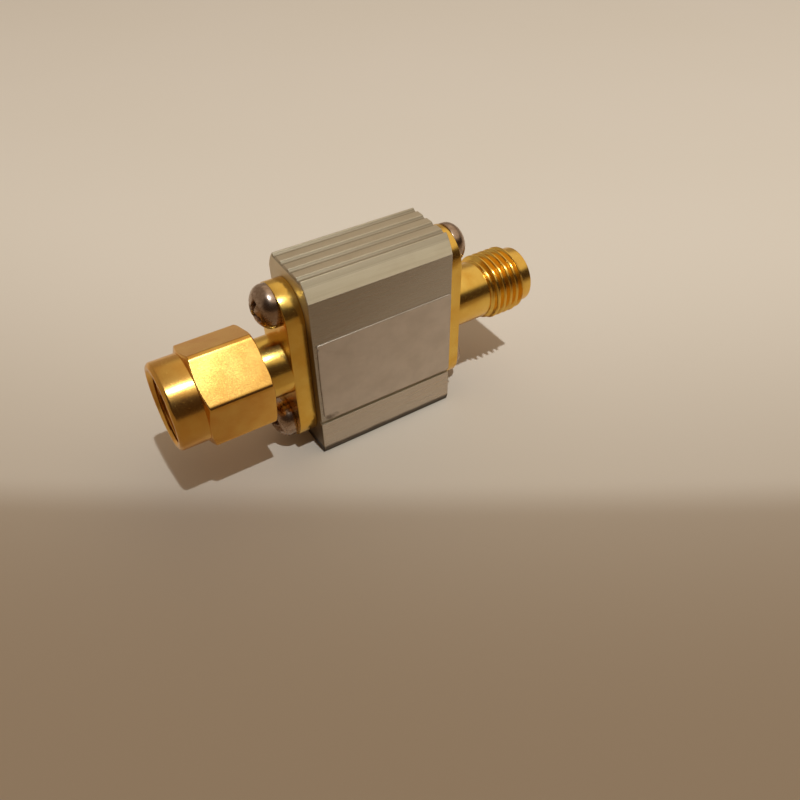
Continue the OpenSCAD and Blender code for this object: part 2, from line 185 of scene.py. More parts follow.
# %% Plate from loops
def plate(name, loops, low, high, edge, along="X"):
    """Fills loops of (u, v) and pushes them from low to high along X, or along Y."""
    curve = bpy.data.curves.new(name + "_outline", "CURVE")
    curve.dimensions = "2D"
    curve.fill_mode = "BOTH"
    for loop in loops:
        spline = curve.splines.new("POLY")
        spline.points.add(len(loop) - 1)
        for point, (u, v) in zip(spline.points, loop):
            point.co = (u, v, 0, 1)
        spline.use_cyclic_u = True
    curve.extrude = (high - low) / 2 - edge
    curve.bevel_depth = edge
    curve.bevel_resolution = 2
    curve.offset = -edge
    draft = object_of(name + "_draft", curve)
    graph = bpy.context.evaluated_depsgraph_get()
    mesh = bpy.data.meshes.new_from_object(draft.evaluated_get(graph))
    bpy.data.objects.remove(draft)
    middle = (low + high) / 2
    if along == "X":
        turn = Matrix(((0, 0, 1, middle), (1, 0, 0, 0), (0, 1, 0, 0), (0, 0, 0, 1)))
    else:
        turn = Matrix(((1, 0, 0, 0), (0, 0, 1, middle), (0, 1, 0, 0), (0, 0, 0, 1)))
    mesh.transform(turn)
    mesh.name = name
    return object_of(name, weld(mesh))


def round_loop(u, v, radius, count=48):
    return [(u + radius * math.cos(a), v + radius * math.sin(a)) for a in circle(count)[:-1]]


# %% [markdown]
# ## Joining and cutting solids
#
# The flange and the neck of each connector are milled from one bar. Two overlapping
# meshes would look the same in a render but leave hidden faces inside. A Boolean
# modifier with the exact solver gives one clean skin instead.

# %% Boolean helper
def combine(piece, other, operation):
    """Unites piece with other, or cuts other out of it, and removes other."""
    step = piece.modifiers.new(operation.lower(), "BOOLEAN")
    step.object = other
    step.operation = operation
    step.solver = "EXACT"
    graph = bpy.context.evaluated_depsgraph_get()
    mesh = bpy.data.meshes.new_from_object(piece.evaluated_get(graph))
    piece.modifiers.clear()
    piece.data = mesh
    mesh.name = piece.name
    bpy.data.objects.remove(other)
    weld(mesh, reach=1e-4)


# %% [markdown]
# ## Handing a piece over
#
# Every finished piece goes through the same last steps: scale to metres, smooth
# shading with sharp creases kept, weighted normals so that large flat faces stay flat
# beside their small rounds, its material, the body it rides on, and the CAD node it
# stands for.


def hand_over(piece, material, node, body="filter_body", crease=32):
    """Makes piece ready to stand for node. Edges steeper than crease degrees stay sharp."""
    mesh = piece.data
    mesh.transform(Matrix.Scale(MM, 4))
    mesh.shade_smooth()
    mesh.set_sharp_from_angle(angle=math.radians(crease))
    normals = piece.modifiers.new("even_shading", "WEIGHTED_NORMAL")
    normals.keep_sharp = True
    normals.weight = 80
    mesh.materials.clear()
    mesh.materials.append(material)
    piece.name = node + "_detail"
    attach(piece, body)
    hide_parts(node)
    print(piece.name, "faces", len(mesh.polygons), "open edges", open_edges(piece))


# %% [markdown]
# ## A short way to write shader nodes
#
# A procedural finish is a small network of nodes. Writing each link out in full hides
# the idea, so Nodes wraps one network: add() makes a node and fills its inputs with
# numbers or with other nodes' outputs, and the other methods name what is done often.

# %% Node helpers
class Nodes:
    def __init__(self, tree):
        self.tree = tree

    def add(self, kind, inputs=None, **settings):
        node = self.tree.nodes.new(kind)
        for key, value in settings.items():
            setattr(node, key, value)
        for key, value in (inputs or {}).items():
            self.put(node.inputs[key], value)
        return node

    def put(self, socket, value):
        """Links another node's output to the socket, or sets the socket to a value."""
        if isinstance(value, bpy.types.NodeSocket):
            self.tree.links.new(value, socket)
        else:
            socket.default_value = value

    def math(self, operation, *values):
        return self.add("ShaderNodeMath", dict(enumerate(values)), operation=operation).outputs[0]

    def split(self, vector):
        """The X, Y and Z of a vector."""
        parts = self.add("ShaderNodeSeparateXYZ", {0: vector}).outputs
        return parts["X"], parts["Y"], parts["Z"]

    def distance(self, a, b):
        """How far the point (a, b) lies from (0, 0)."""
        corner = self.add("ShaderNodeCombineXYZ", {0: a, 1: b}).outputs[0]
        return self.add("ShaderNodeVectorMath", {0: corner}, operation="LENGTH").outputs["Value"]

    def mix(self, share, a, b):
        """A colour between a and b, which are colours or outputs."""
        node = self.add("ShaderNodeMix", data_type="RGBA")
        self.put(node.inputs["Factor"], share)
        for socket, value in ((node.inputs[6], a), (node.inputs[7], b)):
            self.put(socket, (*value, 1) if isinstance(value, tuple) else value)
        return node.outputs[2]

    def remap(self, value, low, high, to_low=0.0, to_high=1.0, **settings):
        """Maps low to to_low and high to to_high, and holds the value outside them."""
        return self.add("ShaderNodeMapRange", {
            "Value": value, "From Min": low, "From Max": high,
            "To Min": to_low, "To Max": to_high}, **settings).outputs["Result"]


# %% [markdown]
# ## One material as a Finish
#
# Finish adds what a material needs to that: its shader, noise, and bumps. Its place is
# the object's own coordinates, in millimetres, so that a noise with a scale of 10 has
# about ten features per millimetre, and it moves with the piece.

# %% Finish wrapper
class Finish(Nodes):
    def __init__(self, name, **constants):
        self.material = bpy.data.materials.new(name)
        self.material.use_nodes = True
        super().__init__(self.material.node_tree)
        self.shader = self.tree.nodes["Principled BSDF"]
        for socket, value in constants.items():
            self.shader.inputs[socket.replace("_", " ")].default_value = value
        metres = self.add("ShaderNodeTexCoord").outputs["Object"]
        self.place = self.add("ShaderNodeVectorMath", {0: metres, 3: 1 / MM},
                              operation="SCALE").outputs[0]

    def stretched(self, x, y, z):
        """The coordinates, scaled on each axis, for streaks along one direction."""
        return self.add("ShaderNodeVectorMath", {0: self.place, 1: (x, y, z)},
                        operation="MULTIPLY").outputs[0]

    def noise(self, scale, detail=2.0, vector=None, rough=0.5):
        node = self.add("ShaderNodeTexNoise", {
            "Vector": self.place if vector is None else vector,
            "Scale": scale, "Detail": detail, "Roughness": rough})
        return node.outputs["Fac"]

    def bumps(self, *layers):
        """Stacks bump layers of (height, depth in mm) and returns the normal."""
        normal = None
        for height, depth in layers:
            node = self.add("ShaderNodeBump", {
                "Height": height, "Distance": depth * MM, "Strength": 1.0})
            if normal is not None:
                self.put(node.inputs["Normal"], normal)
            normal = node.outputs["Normal"]
        return normal

    def set(self, **sockets):
        """Links outputs to the shader's sockets and returns the finished material."""
        for name, value in sockets.items():
            self.put(self.shader.inputs[name.replace("_", " ")], value)
        print("finish:", self.material.name, "with", len(self.tree.nodes), "nodes")
        return self.material


def srgb(red, green, blue):
    """A colour written as 0 to 255 screen values, in the linear form that nodes take."""
    def one(c):
        c /= 255
        return c / 12.92 if c <= 0.04045 else ((c + 0.055) / 1.055) ** 2.4
    return one(red), one(green), one(blue)


# %% [markdown]
# ## Gold plating
#
# The connectors are turned brass under a thin bright gold plating. Two things make it
# look real: the fine rings that the lathe left, and the slow change of tone where the
# plating is thinner. The rings can't be a picture, so they come from a one-dimensional
# noise. Its coordinate is the distance along the line plus the distance from it, which
# draws rings round a cylinder and circles on a flat face with the same nodes. Short
# scratches and small specks break up the shine.

# %% Gold finishes
def gold(name, light, deep, ring_depth):
    f = Finish(name, Metallic=1.0, Specular_Tint=(0.94, 0.84, 0.68, 1.0), Coat_Weight=0.45,
               Coat_Roughness=0.32)
    x, y, z = f.split(f.place)
    from_line = f.distance(y, f.math("SUBTRACT", z, AXIS_Z))
    rings = f.add("ShaderNodeTexNoise", {
        "W": f.math("ADD", x, from_line), "Scale": 11.0, "Detail": 3.0},
        noise_dimensions="1D").outputs["Fac"]
    tone = f.noise(0.55, 3.0)
    specks = f.noise(9.0, 4.0, rough=0.6)
    scratches = f.remap(f.noise(26.0, 2.0, f.stretched(0.12, 1.0, 0.5)), 0.60, 0.70)
    colour = f.mix(f.remap(tone, 0.35, 0.68), light, deep)
    colour = f.mix(f.remap(specks, 0.62, 0.80, 0.0, 0.35), colour, deep)
    rough = f.math("ADD", f.remap(specks, 0.3, 0.75, 0.17, 0.26),
                   f.math("MULTIPLY", scratches, 0.05))
    return f.set(Base_Color=colour, Roughness=rough,
                 Normal=f.bumps((tone, 0.008), (rings, ring_depth), (scratches, 0.0003)))


GOLD_LIGHT = srgb(240, 198, 92)
GOLD_DEEP = srgb(229, 178, 68)
body_gold = gold("gold_plating", GOLD_LIGHT, GOLD_DEEP, ring_depth=0.0012)
nut_gold = gold("nut_gold", srgb(238, 188, 88), srgb(226, 164, 66), ring_depth=0.0006)
pin_gold = gold("pin_gold", srgb(250, 204, 112), GOLD_DEEP, ring_depth=0.0010)

# %% [markdown]
# ## Drawn aluminium
#
# The block is sawn from an extrusion. A die leaves fine lines along the length, so the
# noise is squeezed across X: it hardly changes along the bar and changes quickly
# across it. The sawn ends have their own grain, drawn out along Z. The direction that
# a face looks, its true normal, tells which is which. It also picks out the two broad
# sides, which are smoother than the ribbed top.

# %% Aluminium grain
alu = Finish("satin_aluminium", Metallic=1.0)
fine = alu.noise(16.0, 3.0, alu.stretched(0.02, 1.0, 1.0))
bands = alu.noise(2.2, 2.0, alu.stretched(0.03, 1.0, 1.0))
blotch = alu.noise(0.45, 3.0)
grain = alu.noise(30.0, 2.0)
saw_marks = alu.noise(9.0, 2.0, alu.stretched(1.0, 1.0, 0.08))

look_x, look_y, _ = alu.split(alu.add("ShaderNodeNewGeometry").outputs["True Normal"])
sideways = alu.math("ABSOLUTE", look_y)
on_end = alu.remap(alu.math("ABSOLUTE", look_x), 0.6, 0.9)
on_side = alu.remap(sideways, 0.93, 0.99)
streaks = alu.math("ADD", alu.math("MULTIPLY", fine, 0.5), alu.math("MULTIPLY", bands, 0.5))
lines = alu.mix(on_end, streaks, saw_marks)

smooth = alu.math("MAXIMUM", on_side, alu.math("MULTIPLY", on_end, 0.2))
rough = alu.math("ADD", alu.remap(smooth, 0.0, 1.0, 0.62, 0.27),
                 alu.remap(lines, 0.3, 0.7, -0.02, 0.03))
rough = alu.math("ADD", rough, alu.remap(grain, 0.3, 0.8, -0.02, 0.04))
print("aluminium grain:", len(alu.tree.nodes), "nodes")

# %% [markdown]
# ## Painted light and shade on the block
#
# Besides its grain, the metal's colour carries painted light and shade. The sawn ends get
# painted shade low down and painted light near the top. On the two sides the strip below
# the line is painted lighter than the band above, as a painted reflection of the bright
# floor close in front. The upper slope of each shoulder, which the true normal finds
# because it changes there from the side to the slope, gets painted shade. A painted
# contact shadow lies along the foot, with a slightly uneven upper limit, and a little
# painted shade lies in the grooves. Each of these is a share between two colours, steered
# by the height or by the normal.

# %% Aluminium colour
LINE_Z = 3.75
END_SHADE_TO, END_LIT_FROM = 13.0, 15.5
FOOT_SHADE_FULL, FOOT_SHADE_TOP = 0.60, 0.88
GROOVE_BED, GROOVE_LIP, BELOW_GROOVES, GROOVES_HALF = 18.04, 18.13, 17.8, 2.56

_, place_y, place_z = alu.split(alu.place)
colour = alu.mix(alu.remap(lines, 0.35, 0.68), srgb(192, 175, 147), srgb(184, 167, 139))
colour = alu.mix(alu.remap(blotch, 0.50, 0.75, 0.0, 0.4), colour, srgb(178, 160, 131))
# Painted shade low on the sawn ends and painted light near their top.
end_light_and_shade = alu.mix(alu.remap(place_z, END_SHADE_TO, END_LIT_FROM),
                   srgb(104, 84, 64), srgb(228, 215, 190))
colour = alu.mix(alu.math("MULTIPLY", on_end, 0.8), colour, end_light_and_shade)
# Painted light and shade on the two sides: lighter below the line, a painted reflection of the
# bright floor close in front, darker above.
side_light_and_shade = alu.mix(alu.math("GREATER_THAN", place_z, LINE_Z),
                    srgb(195, 182, 168), srgb(168, 159, 147))
colour = alu.mix(alu.math("MULTIPLY", on_side, 0.85), colour, side_light_and_shade)
# Painted shade on the upper slope of each shoulder, picked out by the true normal.
shoulder_shade = alu.math("MULTIPLY", alu.remap(sideways, 0.40, 0.62),
                     alu.remap(sideways, 0.84, 0.78, 0.0, 0.42))
colour = alu.mix(shoulder_shade, colour, srgb(128, 112, 86))

# Painted contact shadow along the foot, its upper limit made slightly uneven by a noise.
height = alu.math("ADD", place_z, alu.remap(blotch, 0.3, 0.7, -0.05, 0.05))
colour = alu.mix(alu.remap(height, FOOT_SHADE_TOP, FOOT_SHADE_FULL, 0.0, 0.88), colour,
                 srgb(58, 44, 32))
# Painted shade in the grooves of the top.
among_grooves = alu.math("LESS_THAN", alu.math("ABSOLUTE", place_y), GROOVES_HALF)
groove_shade = alu.math("MULTIPLY", among_grooves,
                alu.remap(place_z, GROOVE_LIP, GROOVE_BED, 0.0, 0.40))
groove_shade = alu.math("MULTIPLY", groove_shade, alu.math("GREATER_THAN", place_z, BELOW_GROOVES))
colour = alu.mix(groove_shade, colour, srgb(96, 82, 60))
aluminium = alu.set(Base_Color=colour, Roughness=rough,
                    Normal=alu.bumps((bands, 0.002), (lines, 0.0014), (grain, 0.0006)))

# %% [markdown]
# ## The label film
#
# The label is a thin grey film with a matt, slightly metallic face. Its cut edges have
# picked up dirt, and its worn lower left corner carries a dark patch: painted shadow of
# the slightly lifted corner, with some dirt. The distance from the nearest edge steers
# the dirt, and the distance from the corner, longer along X than along Z, steers the
# painted corner shadow. A noise makes both ragged.

# %% Label finish
LABEL_LEFT, LABEL_RIGHT = -6.555, 6.795
LABEL_FOOT, LABEL_TOP = 3.975, 12.525
CORNER_SHADOW_X, CORNER_SHADOW_Z = LABEL_LEFT + 0.5, LABEL_FOOT + 0.3


def label_film():
    f = Finish("label_sheet", Metallic=0.5)
    x, _, z = f.split(f.place)
    fibre = f.noise(16.0, 4.0)
    cloud = f.noise(0.7, 3.0)
    smear = f.noise(1.6, 3.0, f.stretched(0.35, 1.0, 1.0))
    edge = f.math("SUBTRACT", x, LABEL_LEFT)
    for inwards in ((LABEL_RIGHT, x), (z, LABEL_FOOT), (LABEL_TOP, z)):
        edge = f.math("MINIMUM", edge, f.math("SUBTRACT", *inwards))
    ragged = f.math("ADD", edge, f.remap(f.noise(4.0, 3.0), 0.3, 0.7, -0.10, 0.10))
    edge_dirt_and_corner_shadow = f.remap(ragged, 0.16, 0.0, 0.0, 0.14)
    # A painted shadow of the slightly lifted lower left corner, with some dirt.
    from_corner = f.distance(f.math("MULTIPLY", f.math("SUBTRACT", x, CORNER_SHADOW_X), 0.45),
                             f.math("SUBTRACT", z, CORNER_SHADOW_Z))
    corner_shadow_reach = f.math("ADD", from_corner, f.remap(f.noise(5.0, 3.0), 0.3, 0.7, -0.15, 0.15))
    edge_dirt_and_corner_shadow = f.math("MAXIMUM", edge_dirt_and_corner_shadow, f.remap(corner_shadow_reach, 0.42, 0.12, 0.0, 0.75))
    colour = f.mix(f.remap(cloud, 0.35, 0.7), srgb(204, 186, 165), srgb(194, 176, 155))
    colour = f.mix(f.remap(smear, 0.55, 0.8, 0.0, 0.35), colour, srgb(192, 172, 148))
    colour = f.mix(edge_dirt_and_corner_shadow, colour, srgb(92, 74, 54))
    return f.set(Base_Color=colour, Roughness=f.remap(fibre, 0.3, 0.7, 0.34, 0.44),
                 Normal=f.bumps((cloud, 0.008), (fibre, 0.0012)))


label = label_film()

# %% [markdown]
# ## Steel, plastic, rubber and the board
#
# The remaining finishes follow one pattern: two close tones mixed by a noise at the
# scale of the real grain, a roughness that varies with it, and a little bump. One
# function makes them all, with the numbers that tell one material from another.

# %% Plain finishes
def grained(name, first, second, scale, rough, depth, metallic=0.0, stretch=None, **constants):
    """rough is a pair, from the smoothest spots to the roughest. depth is in mm."""
    f = Finish(name, Metallic=metallic, **constants)
    where = f.stretched(*stretch) if stretch else f.place
    fine = f.noise(scale, 3.0, where)
    broad = f.noise(scale / 9, 2.0)
    colour = f.mix(f.remap(fine, 0.35, 0.65), first, second)
    colour = f.mix(f.remap(broad, 0.45, 0.75, 0.0, 0.5), colour, second)
    return f.set(Base_Color=colour, Roughness=f.remap(fine, 0.3, 0.7, *rough),
                 Normal=f.bumps((broad, depth * 3), (fine, depth)))


steel = grained("screw_steel", srgb(182, 158, 136), srgb(158, 132, 110), 4.0, (0.22, 0.30),
                0.0005, 1.0)
ptfe = grained("ptfe_white", srgb(238, 235, 226), srgb(228, 224, 212), 6.0, (0.38, 0.5),
               0.002, Subsurface_Weight=0.15, Subsurface_Scale=0.0004)
rubber = grained("gasket_rubber", srgb(168, 66, 44), srgb(142, 52, 34), 12.0, (0.5, 0.7), 0.004)
bronze = grained("spring_bronze", srgb(196, 142, 78), srgb(168, 116, 58), 9.0, (0.25, 0.4),
                 0.001, 1.0)
laminate = grained("board_laminate", srgb(44, 104, 58), srgb(32, 82, 44), 5.0, (0.35, 0.5), 0.004,
                   stretch=(1.0, 1.0, 0.4))
copper = grained("bare_copper", srgb(206, 138, 92), srgb(180, 108, 66), 7.0, (0.25, 0.45),
                 0.002, 1.0)
chip = grained("chip_ceramic", srgb(214, 204, 182), srgb(196, 184, 160), 10.0, (0.45, 0.6), 0.002)
coil = grained("coil_ceramic", srgb(74, 80, 90), srgb(56, 60, 68), 10.0, (0.4, 0.55), 0.002)
capacitor = grained("capacitor_ceramic", srgb(186, 158, 120), srgb(166, 138, 100), 10.0,
                    (0.4, 0.55), 0.002)
solder = grained("solder_metal", srgb(206, 208, 210), srgb(176, 178, 182), 4.0, (0.18, 0.36),
                 0.004, 1.0)

# %% [markdown]
# ## Dress the inner pieces
#
# The board and what is soldered to it never show, because the housing is closed. The
# ring that keeps the nut on its barrel is hidden too. Their CAD meshes have the right
# shape already, so they stay and only take a finish.

# %% Inner pieces keep their CAD meshes
INNER = {
    "circuit_board": laminate, "signal_copper": copper, "ground_copper": copper,
    "filter_chip": chip, "input_inductor": coil, "output_inductor": coil,
    "input_capacitor": capacitor, "output_capacitor": capacitor,
    "input_solder": solder, "output_solder": solder, "retaining_ring": bronze,
}
for node, material in INNER.items():
    mesh_materials = nodes[node].data.materials
    mesh_materials.clear()
    mesh_materials.append(material)
print("dressed in place:", len(INNER))

# %% [markdown]
# ## The housing
#
# The block is a length of extrusion: a tall rectangle with two sloping shoulders, four
# shallow grooves in its top and one thin line low on the front and the back. Its
# section is one loop of points. The corners are eased a little, as a die leaves them.
# The shoulder is listed by how far each point lies in from the side and down from the
# top.

# %% Section of the housing
GROOVES = [-2.175, -0.725, 0.725, 2.175]
GROOVE_R, GROOVE_DEEP = 0.36, 0.2
LINE_HALF, LINE_DEEP = 0.175, 0.3
FOOT_HIGH, FOOT_IN = 0.55, 0.19
LINE_ROUND, CORNER_ROUND = 0.02, 0.09
SHOULDER = [(0, 1.6, 0.04), (0.27, 1.0, 0.2), (0.6, 0.45, 0.2), (1.0, 0, 0.1)]


def side_of_section(s):
    """The points up one side of the section, from the foot to the top."""
    low, high, inner = LINE_Z - LINE_HALF, LINE_Z + LINE_HALF, HALF_DEPTH - LINE_DEEP
    foot = [(s * (HALF_DEPTH - FOOT_IN), 0, 0.04), (s * HALF_DEPTH, FOOT_HIGH, 0.08)]
    line = [(s * y, z, LINE_ROUND) for y, z in
            ((HALF_DEPTH, low), (inner, low), (inner, high), (HALF_DEPTH, high))]
    return foot + line + [(s * (HALF_DEPTH - y), HOUSING_H - z, r) for y, z, r in SHOULDER]


def top_grooves():
    """The points along the top from +Y to -Y, with a shallow arc for each groove."""
    out = []
    centre = HOUSING_H + GROOVE_R - GROOVE_DEEP
    lean = math.acos((centre - HOUSING_H) / GROOVE_R)
    for y in reversed(GROOVES):
        for a in np.linspace(lean, -lean, 9):
            out.append((y + GROOVE_R * math.sin(a), centre - GROOVE_R * math.cos(a), 0.05))
    return out


section = eased(side_of_section(1) + top_grooves() + side_of_section(-1)[::-1], CORNER_ROUND)
print("points round the section:", len(section))

# %% [markdown]
# ## Cavity and screw channels
#
# The extrusion is hollow: a cavity for the board runs through it, with a round channel
# above and below that the screws bite into. These are further loops in the same
# plate, so that no Boolean cut is needed.

# %% Housing
CAVITY_Y, CAVITY_Z, CAVITY_ROUND = 2.3, 3.6, 0.15
SCREW_LIFT, CHANNEL_R = 6.1, 1.02
SAWN_EDGE = 0.09

cavity = eased([(y * CAVITY_Y, AXIS_Z + z * CAVITY_Z)
                for y, z in ((-1, -1), (1, -1), (1, 1), (-1, 1))], CAVITY_ROUND)
channels = [round_loop(0, AXIS_Z + s * SCREW_LIFT, CHANNEL_R) for s in (-1, 1)]
housing = plate("housing", [section, cavity] + channels, -END_X, END_X, SAWN_EDGE)
hand_over(housing, aluminium, "housing", crease=22)

# %% [markdown]
# ## The label
#
# The label is a thin sheet, cut by hand: it sits a little crooked, its corners are
# round, and its left edge has a small nick near the top and a worn lower corner. The
# outline carries all of that, and the plate helper gives it its thickness.

# %% Label
LABEL_T, LABEL_TILT, CUT_EDGE = 0.1, 0.11, 0.045


def label_outline():
    """The label's corners, then down its left edge: the nick, a slight bow, the worn corner."""
    low, high, left = LABEL_FOOT, LABEL_TOP, LABEL_LEFT
    corners = [(left + 0.42, low + 0.06, 0.12), (LABEL_RIGHT, low + 0.01, 0.25),
               (LABEL_RIGHT, high + LABEL_TILT, 0.3), (left, high - LABEL_TILT, 0.35)]
    nick = [(left, 12.10, 0.03), (left + 0.17, 11.97, 0.04), (left + 0.02, 11.84, 0.03)]
    bow = [(left - 0.02, 8.4, 0.5)]
    worn_corner = [(left + 0.01, 4.55, 0.1), (left + 0.16, 4.28, 0.08)]
    return eased(corners + nick + bow + worn_corner, 0.2, steps=6)


sheet = plate("front_label", [label_outline()], -HALF_DEPTH - LABEL_T, -HALF_DEPTH, CUT_EDGE,
              "Y")
hand_over(sheet, label, "front_label")

# %% [markdown]
# ## Threads
#
# A thread is one ridge wound round the line. In the skin of rings it needs no special
# tool: each row keeps its place on the ridge (its phase) while it moves along by one
# pitch per turn, and the end of a row lands on the start of the row one pitch further.
# At both ends the rows are held at the limit and the ridge fades out, so that the
# thread closes onto plain rings. Both threads are right-handed.

# %% Helical rows
PITCH = 0.7056
PHASES = [0.0, 0.06, 0.12, 0.16, 0.27, 0.38, 0.43, 0.50, 0.57, 0.62, 0.73, 0.84, 0.88, 0.94]
ROOT_SHARE, FLANK_SHARE, EASE = 0.20, 0.62, 0.35
FADE_LONG = 0.35


def ridge(phase):
    """Height of the ridge, 0 at the root and 1 at the crest, with eased corners."""
    rise = np.clip((1 - abs(2 * phase - 1) - ROOT_SHARE) / FLANK_SHARE, 0, 1)
    return rise * rise * (3 - 2 * rise) * EASE + rise * (1 - EASE)


def thread_rows(side, low, high, root, depth, angles):
    """Rows from low to high. depth is how far the ridge stands from root: minus is inwards."""
    rows = []
    for turn in range(-2, int((high - low) / PITCH) + 3):
        for phase in PHASES:
            reach = low + (turn + phase) * PITCH + side * PITCH * angles / (2 * math.pi)
            reach = np.clip(reach, low, high)
            fade = np.minimum(reach - low, high - reach) / FADE_LONG
            tall = abs(depth) * np.minimum(ridge(phase), fade)
            rows.append(ring(side, root + math.copysign(1, depth) * tall, reach, angles))
    return rows


# %% [markdown]
# ## Two-hole flanges
#
# Each connector begins with a flat bar with round ends, as wide as the neck that rises
# from it. The screws pass through two clearance holes.

# %% Flange bar
FLANGE_T, FLANGE_HALF, FLANGE_STRAIGHT = 1.65, 2.75, 5.15
FLANGE_HOLE_R, FLANGE_EDGE = 1.3, 0.07


def flange(name, side):
    bar = [(FLANGE_HALF * math.cos(a), AXIS_Z + s * FLANGE_STRAIGHT + FLANGE_HALF * math.sin(a))
           for s, start in ((1, 0), (-1, math.pi)) for a in np.linspace(start, start + math.pi, 33)]
    holes = [round_loop(0, AXIS_Z + s * SCREW_LIFT, FLANGE_HOLE_R) for s in (-1, 1)]
    low, high = sorted((side * END_X, side * (END_X + FLANGE_T)))
    return plate(name, [bar] + holes, low, high, FLANGE_EDGE)


# %% [markdown]
# ## The plug's body
#
# Neck, barrel and ferrule are turned in one piece with the flange. The barrel has a
# groove for the ring that keeps the nut on, and the bore steps from the thin stub to
# the full width of the white insulator. The solid is turned without its bore, united
# with the flange, and then bored, which keeps the cuts simple. The stem starts inside
# the flange, and the cutter begins and ends in the air, so that no two faces of the
# solids lie on each other.

# %% Plug body
STEM_START, CUTTER_OVER = 0.6, 0.5
NECK_R, NECK_END, BARREL_R, FERRULE_R = 2.745, 3.8, 2.5, 2.295
RING_BED, RING_LOW, RING_HIGH = 2.13, 5.275, 5.925
PLUG_STEP, FERRULE_FACE = 6.95, 8.9
STUB_BORE, SLEEVE_BORE = 1.62, 2.07

plug = flange("plug_body", -1)
stem = [(0, STEM_START), (NECK_R, STEM_START), (NECK_R, NECK_END, 0.06), (BARREL_R, NECK_END),
        (BARREL_R, RING_LOW), (RING_BED, RING_LOW), (RING_BED, RING_HIGH), (BARREL_R, RING_HIGH),
        (BARREL_R, PLUG_STEP), (FERRULE_R, PLUG_STEP), (FERRULE_R, FERRULE_FACE, 0.06),
        (0, FERRULE_FACE)]
combine(plug, turned("plug_stem", -1, stem, closed=False), "UNION")
start, end = -CUTTER_OVER, FERRULE_FACE + CUTTER_OVER
bore = [(0, start), (STUB_BORE, start), (STUB_BORE, PLUG_STEP), (SLEEVE_BORE, PLUG_STEP),
        (SLEEVE_BORE, end), (0, end)]
combine(plug, turned("plug_bore", -1, bore, 0.0, closed=False), "DIFFERENCE")
hand_over(plug, body_gold, "plug_body")

# %% [markdown]
# ## The jack's body
#
# The jack's neck ends in a narrow relief, then the thread that a cable's nut runs on,
# and a plain tip that guides it. The rings of the thread stand between the plain rings
# of the turned profile. Its bore widens once more at the mouth, to a counterbore that
# takes a cable's ferrule.

# %% Jack body
RELIEF_R, RELIEF_LOW, RELIEF_HIGH = 2.6, 5.1, 5.3
THREAD_LOW, THREAD_HIGH, THREAD_ROOT, THREAD_TALL = 5.35, 9.15, 2.715, 0.46
TIP_R, TIP_START, JACK_FRONT = 2.70, 9.2, 10.2
JACK_STEP, JACK_PLANE = 2.6, JACK_FRONT - 1.95
COUNTERBORE, MOUTH, MOUTH_LONG = 2.325, 2.45, 0.12

jack = flange("jack_body", 1)
jack_angles = circle(120)
low_part = eased([(0, STEM_START), (NECK_R, STEM_START), (NECK_R, RELIEF_LOW, 0.05),
                  (RELIEF_R, RELIEF_LOW, 0.02), (RELIEF_R, RELIEF_HIGH, 0.02),
                  (THREAD_ROOT, THREAD_LOW)], 0.03, closed=False)
tip_part = eased([(THREAD_ROOT, THREAD_HIGH), (TIP_R, TIP_START, 0.02), (TIP_R, JACK_FRONT, 0.15),
                  (0, JACK_FRONT)], 0.03, closed=False)
rows = [ring(1, r, d, jack_angles) for r, d in low_part]
rows += thread_rows(1, THREAD_LOW, THREAD_HIGH, THREAD_ROOT, THREAD_TALL, jack_angles)
rows += [ring(1, r, d, jack_angles) for r, d in tip_part]
combine(jack, skin("jack_stem", rows, closed=False), "UNION")
start, end = -CUTTER_OVER, 11.0
bore = [(0, start), (STUB_BORE, start), (STUB_BORE, JACK_STEP), (SLEEVE_BORE, JACK_STEP),
        (SLEEVE_BORE, JACK_PLANE), (COUNTERBORE, JACK_PLANE),
        (COUNTERBORE, JACK_FRONT - MOUTH_LONG), (MOUTH, JACK_FRONT), (MOUTH, end), (0, end)]
combine(jack, turned("jack_bore", 1, bore, 0.0, closed=False), "DIFFERENCE")
hand_over(jack, body_gold, "jack_body")

# %% [markdown]
# ## The coupling nut
#
# The nut is a hexagon with both ends turned to a bevel, a round collar, and a threaded
# mouth. Cutting a bevelled hexagon out of cylinders would leave hard corners. Here its
# radius is written as a formula instead: the smallest of six flats and the bevel cone,
# blended softly, which rounds every corner by the same small amount.

# %% Radius of the hexagon
HEX_CORNER = math.radians(99.5)
SIXTH = math.pi / 3
HALF_FLATS, COLLAR_R = 4.0, 3.85
HEX_R = HALF_FLATS / math.cos(SIXTH / 2)
CORNER_SOFT, CONE_SOFT, COLLAR_SOFT = 0.34, 0.16, 0.05
CROWDING, WIDEST_ANGLE = 0.85, 1.4


def softer_min(a, b, soft):
    """The smaller of two numbers, with the corner between them rounded."""
    overlap = np.maximum(soft - abs(a - b), 0) / soft
    return np.minimum(a, b) - overlap ** 2 * soft / 4


def nut_angles(per_flat=36):
    """Angles round the nut, closer together near the corners of the hexagon."""
    t = np.linspace(0, 1, per_flat + 1)
    within = (t - CROWDING * np.sin(2 * math.pi * t) / (2 * math.pi)) * SIXTH
    turns = [HEX_CORNER + k * SIXTH + within[:-1] for k in range(6)]
    return np.concatenate(turns + [[HEX_CORNER + 2 * math.pi]])


def hexagon(angles):
    """Distance from the line to the hexagon's skin: the nearest flat or one beside it."""
    off = (angles - HEX_CORNER) % SIXTH
    near = HALF_FLATS / np.cos(off - SIXTH / 2)
    after = HALF_FLATS / np.cos(np.minimum(off + SIXTH / 2, WIDEST_ANGLE))
    before = HALF_FLATS / np.cos(np.minimum(1.5 * SIXTH - off, WIDEST_ANGLE))
    return softer_min(softer_min(near, after, CORNER_SOFT), before, CORNER_SOFT)


angles = nut_angles()
print("corner rounded by", round(HEX_R - hexagon(angles).max(), 3), "mm")

